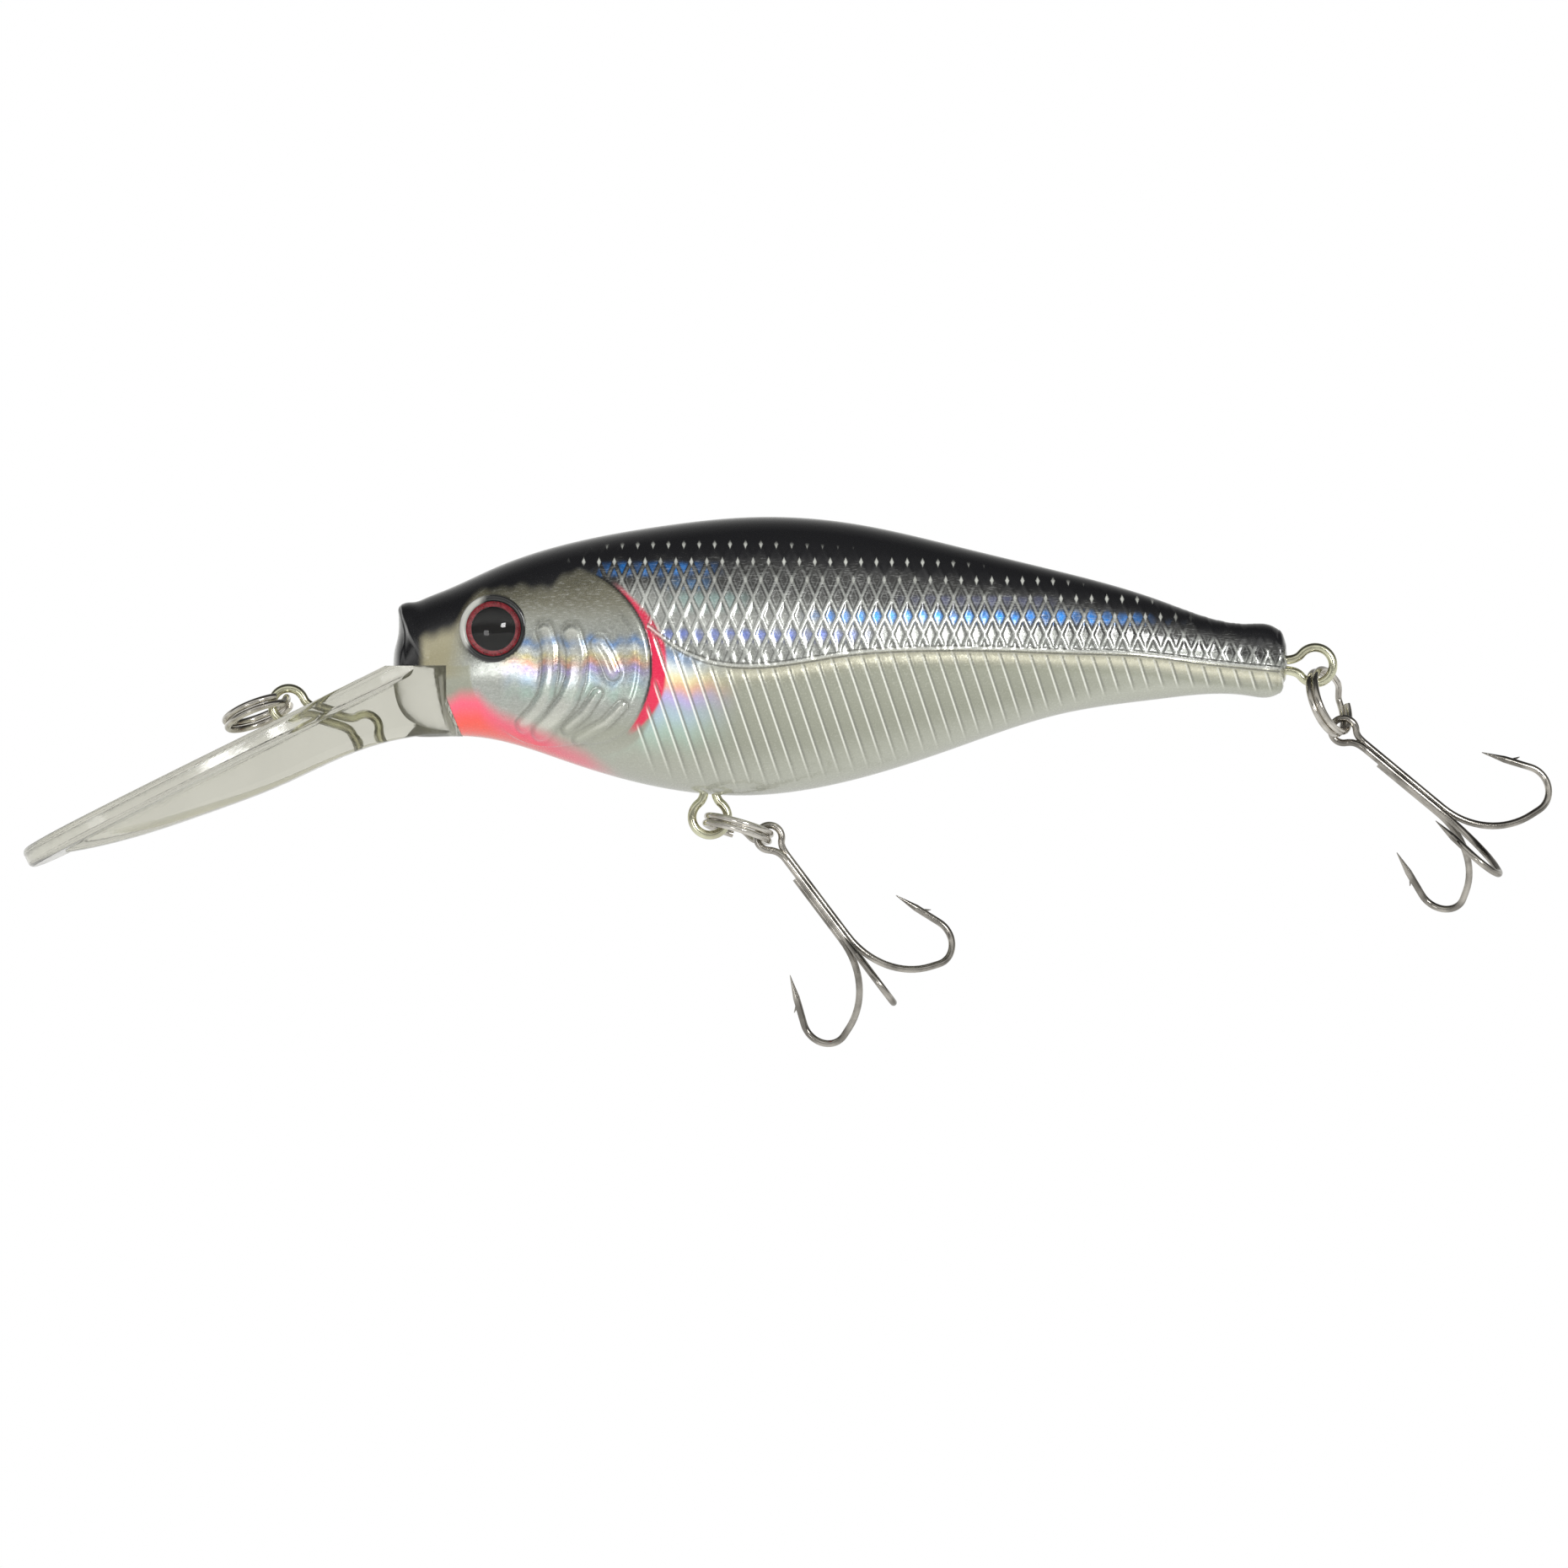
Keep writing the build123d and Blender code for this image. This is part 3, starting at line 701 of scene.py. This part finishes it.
def line_marks(n, colour):
    """The lateral line: a light ridge between two dark lines."""
    away = n.math("ABSOLUTE", n.attribute("line"))
    colour = n.mix(n.band(away, 0.2, 0.02, 0.1, 0.75), colour, (0.10, 0.10, 0.09, 1))
    return n.mix(n.ramp(away, 0.04, 0.14, 0.8, 0.0), colour, (0.66, 0.67, 0.62, 1))


def rib_lines(n, x, z, colour):
    """Painted shade on one side of each rib groove and a painted highlight on the other."""
    lean = n.math("ADD", x, n.math("MULTIPLY", z, RIB_LEAN))
    side = n.math("SUBTRACT", n.math("FRACT", n.math("DIVIDE", lean, SCALE_PITCH)), 0.5)
    rib = n.attribute("rib")
    shade, light = n.band(side, 0.03, 0.02, 0.1, 0.75), n.band(side, -0.12, 0.02, 0.09, 0.7)
    # Painted shade on the groove's dark side, then a painted highlight on its light side
    colour = n.mix(n.math("MULTIPLY", shade, rib), colour, (0.16, 0.165, 0.14, 1))
    return n.mix(n.math("MULTIPLY", light, rib), colour, (0.80, 0.81, 0.74, 1))


def bar_marks(n, foil, colour):
    """Shadow lines round the cheek bars, and light along their crowns."""
    bars, bright = n.attribute("bars"), n.ramp(foil, 0.0, 0.3)
    edge = n.math("MULTIPLY", n.band(bars, 0.05, 0.02, 0.16, 0.5), bright)
    colour = n.mix(edge, colour, (0.17, 0.17, 0.14, 1))
    crown = n.math("MULTIPLY", n.ramp(bars, -0.5, -0.15, 0.45, 0.0), bright)
    return n.mix(crown, colour, (0.74, 0.74, 0.66, 1))


def body_paint():
    """Paint and clear coat over holographic foil. The foil shows through as metal."""
    n = Nodes("painted_foil")
    foil = n.attribute("foil")
    x, z = n.side_view()
    colour = scale_marks(n, x, z, n.attribute("paint", "Color"))
    colour = line_marks(n, colour)
    colour = rib_lines(n, x, z, colour)
    colour = bar_marks(n, foil, colour)
    speckle = n.noise(5.0, 3.0)
    dark = n.math("MULTIPLY", n.ramp(speckle, 0.3, 0.65, 0.16, 0.0), foil)
    colour = n.mix(dark, colour, (0.03, 0.03, 0.03, 1))
    weave = n.noise(2.2, 2.0, (1.0, 1.0, 6.0))
    fleck = n.math("MULTIPLY", n.ramp(weave, 0.5, 0.75, 0.0, 0.35), foil)
    colour = n.mix(fleck, colour, (0.80, 0.81, 0.79, 1))
    n.set(Base_Color=colour, Metallic=n.math("MULTIPLY", foil, 0.85))
    n.set(Roughness=n.ramp(speckle, 0.3, 0.7, 0.17, 0.30), Coat_Weight=0.9, Coat_Roughness=0.05)
    n.bump(n.noise(3.0, 4.0), 0.03, 0.25)
    return n.material


def clear_plastic(name, tint, rough, scratches):
    """Polished clear plastic with faint flow marks."""
    n = Nodes(name)
    marks = n.noise(0.35, 3.0, (1.0, 0.35, 1.0))
    colour = n.mix(n.ramp(marks, 0.35, 0.7, 0.0, 1.0), tint, tuple(c * 0.96 for c in tint[:3]) + (1,))
    n.set(Base_Color=colour, Transmission_Weight=1.0, IOR=1.5)
    n.set(Roughness=n.ramp(n.noise(2.0, 4.0), 0.35, 0.75, *rough))
    n.bump(n.noise(scratches, 3.0, (1.0, 0.4, 1.0)), 0.02, 0.3)
    return n.material


def wire(name, light, dark, rough, mottle):
    """Plated or drawn wire: metal with mottled tone and fine marks."""
    n = Nodes(name)
    patch = n.noise(mottle, 4.0)
    n.set(Base_Color=n.mix(n.ramp(patch, 0.35, 0.65, 0.0, 1.0), light, dark), Metallic=1.0)
    n.set(Roughness=n.ramp(n.noise(9.0, 3.0), 0.3, 0.7, rough * 0.7, rough * 1.4))
    n.bump(n.noise(8.0, 2.0), 0.006, 0.25)
    return n.material


def iris_foil():
    """Red foil, darker in patches."""
    n = Nodes("iris_foil")
    patch = n.noise(3.0, 4.0)
    n.set(Base_Color=n.mix(n.ramp(patch, 0.3, 0.7), (0.34, 0.008, 0.02, 1), (0.66, 0.035, 0.06, 1)))
    n.set(Metallic=0.7, Roughness=n.ramp(patch, 0.3, 0.7, 0.25, 0.4), Coat_Weight=0.6)
    n.bump(n.noise(10.0, 2.0), 0.02, 0.4)
    return n.material


def pupil():
    """Black lacquer with a faint brown cast."""
    n = Nodes("pupil_black")
    brown = n.ramp(n.noise(1.5, 4.0), 0.35, 0.7)
    n.set(Base_Color=n.mix(brown, (0.002, 0.002, 0.002, 1), (0.006, 0.004, 0.004, 1)))
    n.set(Roughness=n.ramp(n.noise(6.0, 3.0), 0.3, 0.7, 0.3, 0.45), Specular_IOR_Level=0.15)
    n.bump(n.noise(5.0, 3.0), 0.003, 0.2)
    return n.material


def socket_rim():
    """Bare silver on the snout side of the eye, sprayed black on the other."""
    n = Nodes("socket_rim")
    split = n.add("SeparateXYZ")
    n.put(n.place(), split.inputs[0])
    x = n.math("SUBTRACT", split.outputs[0], EYE_X + NOSE_X)
    z = n.math("SUBTRACT", split.outputs[2], EYE_Z + AXIS_Z)
    across = n.math("ADD", x, n.math("MULTIPLY", n.noise(1.5, 3.0), 0.8))
    across = n.math("SUBTRACT", across, n.math("MULTIPLY", z, 0.35))
    n.set(Base_Color=n.mix(n.ramp(across, -1.7, -0.7), (0.36, 0.36, 0.33, 1), (0.012, 0.012, 0.012, 1)))
    n.set(Roughness=n.ramp(n.noise(6.0, 3.0), 0.3, 0.7, 0.12, 0.25), Coat_Weight=0.6)
    n.bump(n.noise(5.0, 3.0), 0.01, 0.3)
    return n.material


def bare_plastic_painted_glow():
    """Unpainted walls under the clear chin, with a painted glow that stands in for the light the chin
    carries to them from all round.
    """
    n = Nodes("bare_plastic_painted_glow")
    tone = n.mix(n.ramp(n.noise(0.8, 3.0), 0.35, 0.7), (0.20, 0.195, 0.15, 1), (0.38, 0.375, 0.30, 1))
    n.set(Base_Color=tone, Roughness=n.ramp(n.noise(6.0, 3.0), 0.3, 0.7, 0.3, 0.5))
    # Painted light: the walls glow with their own tone
    n.set(Emission_Color=tone, Emission_Strength=0.3)
    n.bump(n.noise(3.0, 3.0), 0.02, 0.3)
    return n.material


# ------------------------------------------------------------------ pieces


def piece(mesh, material, slot, *replaced):
    """Puts a smooth mesh in the scene as a piece that rides the lure's body."""
    obj = bpy.data.objects.new(mesh.name, mesh)
    bpy.context.scene.collection.objects.link(obj)
    mesh.materials.append(material)
    mesh.polygons.foreach_set("use_smooth", [True] * len(mesh.polygons))
    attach(obj, "lure_body")
    if replaced:
        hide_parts(*replaced)


def turned(name, profile, side, steps=96):
    """A round piece on the eye's axis. The profile is (radius, how far out) in millimetres."""
    angle = np.linspace(0, 2 * pi, steps, endpoint=False)
    rings = []
    for radius, out in profile:
        x = EYE_X + NOSE_X + radius * np.cos(angle)
        z = EYE_Z + AXIS_Z + radius * np.sin(angle)
        rings.append(np.stack((x, np.full(steps, side * out), z), 1))
    points = np.concatenate(rings) * MM
    faces = []
    for i in range(len(profile) - 1):
        for j in range(steps):
            k = (j + 1) % steps
            faces.append((i * steps + j, i * steps + k, (i + 1) * steps + k, (i + 1) * steps + j))
    mesh = bpy.data.meshes.new(name)
    mesh.from_pydata(points.tolist(), [], faces)
    bm = bmesh.new()
    bm.from_mesh(mesh)
    clean(bm, mesh)
    return mesh


def eye(side, word, materials):
    """Socket rim, red foil iris and domed black pupil. The clear lens over them is the CAD's."""
    inside, middle, half = EYE_DISC - 0.02, (EYE_DISC + EYE_RIM) / 2, (EYE_RIM - EYE_DISC) / 2
    rim = [(inside, SEAT_OUT), (inside, RIM_OUT)]
    for a in np.linspace(0, pi, 9):
        rim.append((middle - half * cos(a), RIM_OUT + 0.16 * sin(a)))
    rim += [(EYE_RIM + 0.02, 5.5), (EYE_RIM + 0.10, SOCKET_OUT)]
    piece(turned(f"eye_rim_{word}", rim, side), materials["rim"], "painted_shell")
    edge = EYE_DISC - 0.04
    iris = [(edge, SEAT_OUT), (edge, 5.24), (1.95, 5.28), (1.5, 5.22), (0.0005, IRIS_OUT)]
    piece(turned(f"eye_iris_{word}", iris, side), materials["iris"], "red_foil", f"eye_disc_{word}")
    dome = [(1.58, 5.21)]
    for i in range(1, 12):
        a = pi / 2 * i / 11
        dome.append((max(PUPIL * cos(a), 0.0005), 5.22 + PUPIL_DOME * sin(a)))
    piece(turned(f"eye_pupil_{word}", dome, side), materials["pupil"], "red_foil")


def floor():
    """A wide pale floor with a little light of its own, so that it stays pale."""
    mesh = bpy.data.meshes.new("floor")
    size, low = 6.0, -1.3
    corners = [(-size, -size, low), (size, -size, low), (size, size, low), (-size, size, low)]
    mesh.from_pydata(corners, [], [(0, 1, 2, 3)])
    n = Nodes("pale_floor")
    tone = n.mix(n.noise(0.01, 2.0), (0.86, 0.86, 0.85, 1), (0.90, 0.90, 0.89, 1))
    n.set(Base_Color=tone, Roughness=0.7)
    n.set(Emission_Color=(0.9, 0.9, 0.89, 1), Emission_Strength=0.45)
    obj = bpy.data.objects.new("floor", mesh)
    mesh.materials.append(n.material)
    bpy.context.scene.collection.objects.link(obj)


def soft_light(name, at, size, power, reflected=False):
    """A flat light aimed at the lure. Only some are seen in reflections, and none through clear parts."""
    light = bpy.data.lights.new(name, "AREA")
    light.shape = "RECTANGLE"
    light.size, light.size_y = size
    light.energy = power
    obj = bpy.data.objects.new(name, light)
    obj.visible_glossy = reflected
    obj.visible_transmission = False
    obj.location = at
    obj.rotation_euler = (Vector(LIT_POINT) - Vector(at)).to_track_quat("-Z", "Y").to_euler()
    bpy.context.scene.collection.objects.link(obj)


def world():
    """A pale studio. The camera sees plain white, and reflected and transmitted rays see the tones."""
    w = bpy.data.worlds.new("studio")
    bpy.context.scene.world = w
    w.use_nodes = True
    tree = w.node_tree

    def add(kind, **settings):
        node = tree.nodes.new("ShaderNode" + kind)
        for key, value in settings.items():
            setattr(node, key, value)
        return node

    def shades(tones, value):
        node = add("ValToRGB")
        while len(node.color_ramp.elements) < len(tones):
            node.color_ramp.elements.new(0.5)
        for element, (angle, tone) in zip(node.color_ramp.elements, tones):
            element.position = angle / 360 + 0.5
            element.color = (tone, tone, tone * CREAM, 1)
        tree.links.new(value, node.inputs[0])
        return node.outputs[0]

    split = add("SeparateXYZ")
    tree.links.new(add("TexCoord").outputs["Generated"], split.inputs[0])
    front = add("Math", operation="MULTIPLY")
    tree.links.new(split.outputs[1], front.inputs[0])
    front.inputs[1].default_value = -1
    turn = add("Math", operation="ARCTAN2")
    tree.links.new(split.outputs[2], turn.inputs[0])
    tree.links.new(front.outputs[0], turn.inputs[1])
    part = add("Math", operation="MULTIPLY_ADD")
    tree.links.new(turn.outputs[0], part.inputs[0])
    part.inputs[1].default_value = 0.5 / pi
    part.inputs[2].default_value = 0.5
    path = add("LightPath")
    reflected = add("Background")
    tree.links.new(shades(REFLECTED, part.outputs[0]), reflected.inputs[0])
    through = add("Background")
    tree.links.new(shades(THROUGH, part.outputs[0]), through.inputs[0])
    seen = add("Background")
    seen.inputs[0].default_value = (1, 1, 1, 1)
    first = add("MixShader")
    tree.links.new(path.outputs["Is Transmission Ray"], first.inputs[0])
    tree.links.new(reflected.outputs[0], first.inputs[1])
    tree.links.new(through.outputs[0], first.inputs[2])
    second = add("MixShader")
    tree.links.new(path.outputs["Is Camera Ray"], second.inputs[0])
    tree.links.new(first.outputs[0], second.inputs[1])
    tree.links.new(seen.outputs[0], second.inputs[2])
    tree.links.new(second.outputs[0], tree.nodes["World Output"].inputs[0])


def camera():
    """A long lens, level with the lure."""
    data = bpy.data.cameras.new("camera")
    data.lens = 220
    data.sensor_width = 36
    data.clip_start, data.clip_end = 0.01, 20
    obj = bpy.data.objects.new("camera", data)
    bpy.context.scene.collection.objects.link(obj)
    elevation = radians(-0.3)
    middle = Vector(((NOSE_X + 30.6) * MM, 0, (AXIS_Z - 10.2) * MM / cos(elevation)))
    back = Vector((0, -cos(elevation), sin(elevation)))
    seen_width = 0.1228
    obj.location = middle + back * (seen_width / 2 / (data.sensor_width / 2 / data.lens))
    obj.rotation_mode = "QUATERNION"
    obj.rotation_quaternion = (-back).to_track_quat("-Z", "Y")
    bpy.context.scene.camera = obj


def lights():
    """Soft light from above, the front, behind and below, and two small ones that glint in the eye."""
    soft_light("key", (-0.25, -0.55, 0.75), (0.7, 0.5), 7.5)
    soft_light("fill", (0.5, -0.8, 0.1), (0.5, 0.8), 4)
    soft_light("window", (0.42, -0.85, 0.17), (0.2, 0.2), 2.0, reflected=True)
    soft_light("lamp", (-0.28, -0.85, -0.16), (0.2, 0.2), 0.4, reflected=True)
    soft_light("far_side", (0.3, 0.8, 0.35), (0.7, 0.6), 1.5)
    soft_light("low", (0.1, -0.3, -0.8), (0.6, 0.4), 2)


def painted_halves():
    """The painted skins and the eyes in them."""
    paint, bare = body_paint(), bare_plastic_painted_glow()
    eye_materials = {"rim": socket_rim(), "iris": iris_foil(), "pupil": pupil()}
    for side, word in ((-1, "left"), (1, "right")):
        mesh = body_mesh(f"painted_body_{word}", side)
        paint_fields(mesh)
        piece(mesh, paint, "painted_shell", f"body_shell_{word}")
        mesh.materials.append(bare)
        eye(side, word, eye_materials)


def cad_materials():
    """Materials for the pieces whose CAD meshes are carried over."""
    hooks = [f"{place}_treble_{kind}_hook" for place in ("belly", "tail") for kind in ("double", "single")]
    rings = ("line_tie_split_ring", "belly_split_ring", "tail_split_ring")
    wires = ("line_tie_wire", "belly_hook_hanger", "tail_hook_hanger")
    inner = ("ballast_weight", "rattle_ball_front", "rattle_ball_middle", "rattle_ball_rear")
    given = (
        (("diving_lip",), clear_plastic("lip_polycarbonate", (0.83, 0.82, 0.73, 1), (0.09, 0.2), 1.2)),
        (("eye_lens_left", "eye_lens_right"),
         clear_plastic("lens_acrylic", (0.99, 0.99, 0.99, 1), (0.02, 0.09), 2.0)),
        (wires, wire("bright_wire", (0.84, 0.84, 0.62, 1), (0.62, 0.60, 0.44, 1), 0.16, 0.7)),
        (rings, wire("ring_nickel", (0.78, 0.75, 0.69, 1), (0.50, 0.47, 0.42, 1), 0.14, 0.6)),
        (hooks, wire("hook_nickel", (0.56, 0.53, 0.48, 1), (0.26, 0.245, 0.22, 1), 0.15, 0.5)),
        (inner, wire("plain_steel", (0.60, 0.60, 0.60, 1), (0.42, 0.42, 0.42, 1), 0.3, 0.8)),
    )
    for names, material in given:
        for name in names:
            slots = frame["nodes"][name].data.materials
            slots.clear()
            slots.append(material)


def main():
    painted_halves()
    cad_materials()
    floor()
    world()
    camera()
    lights()
    bpy.context.scene.view_settings.view_transform = "Standard"


main()
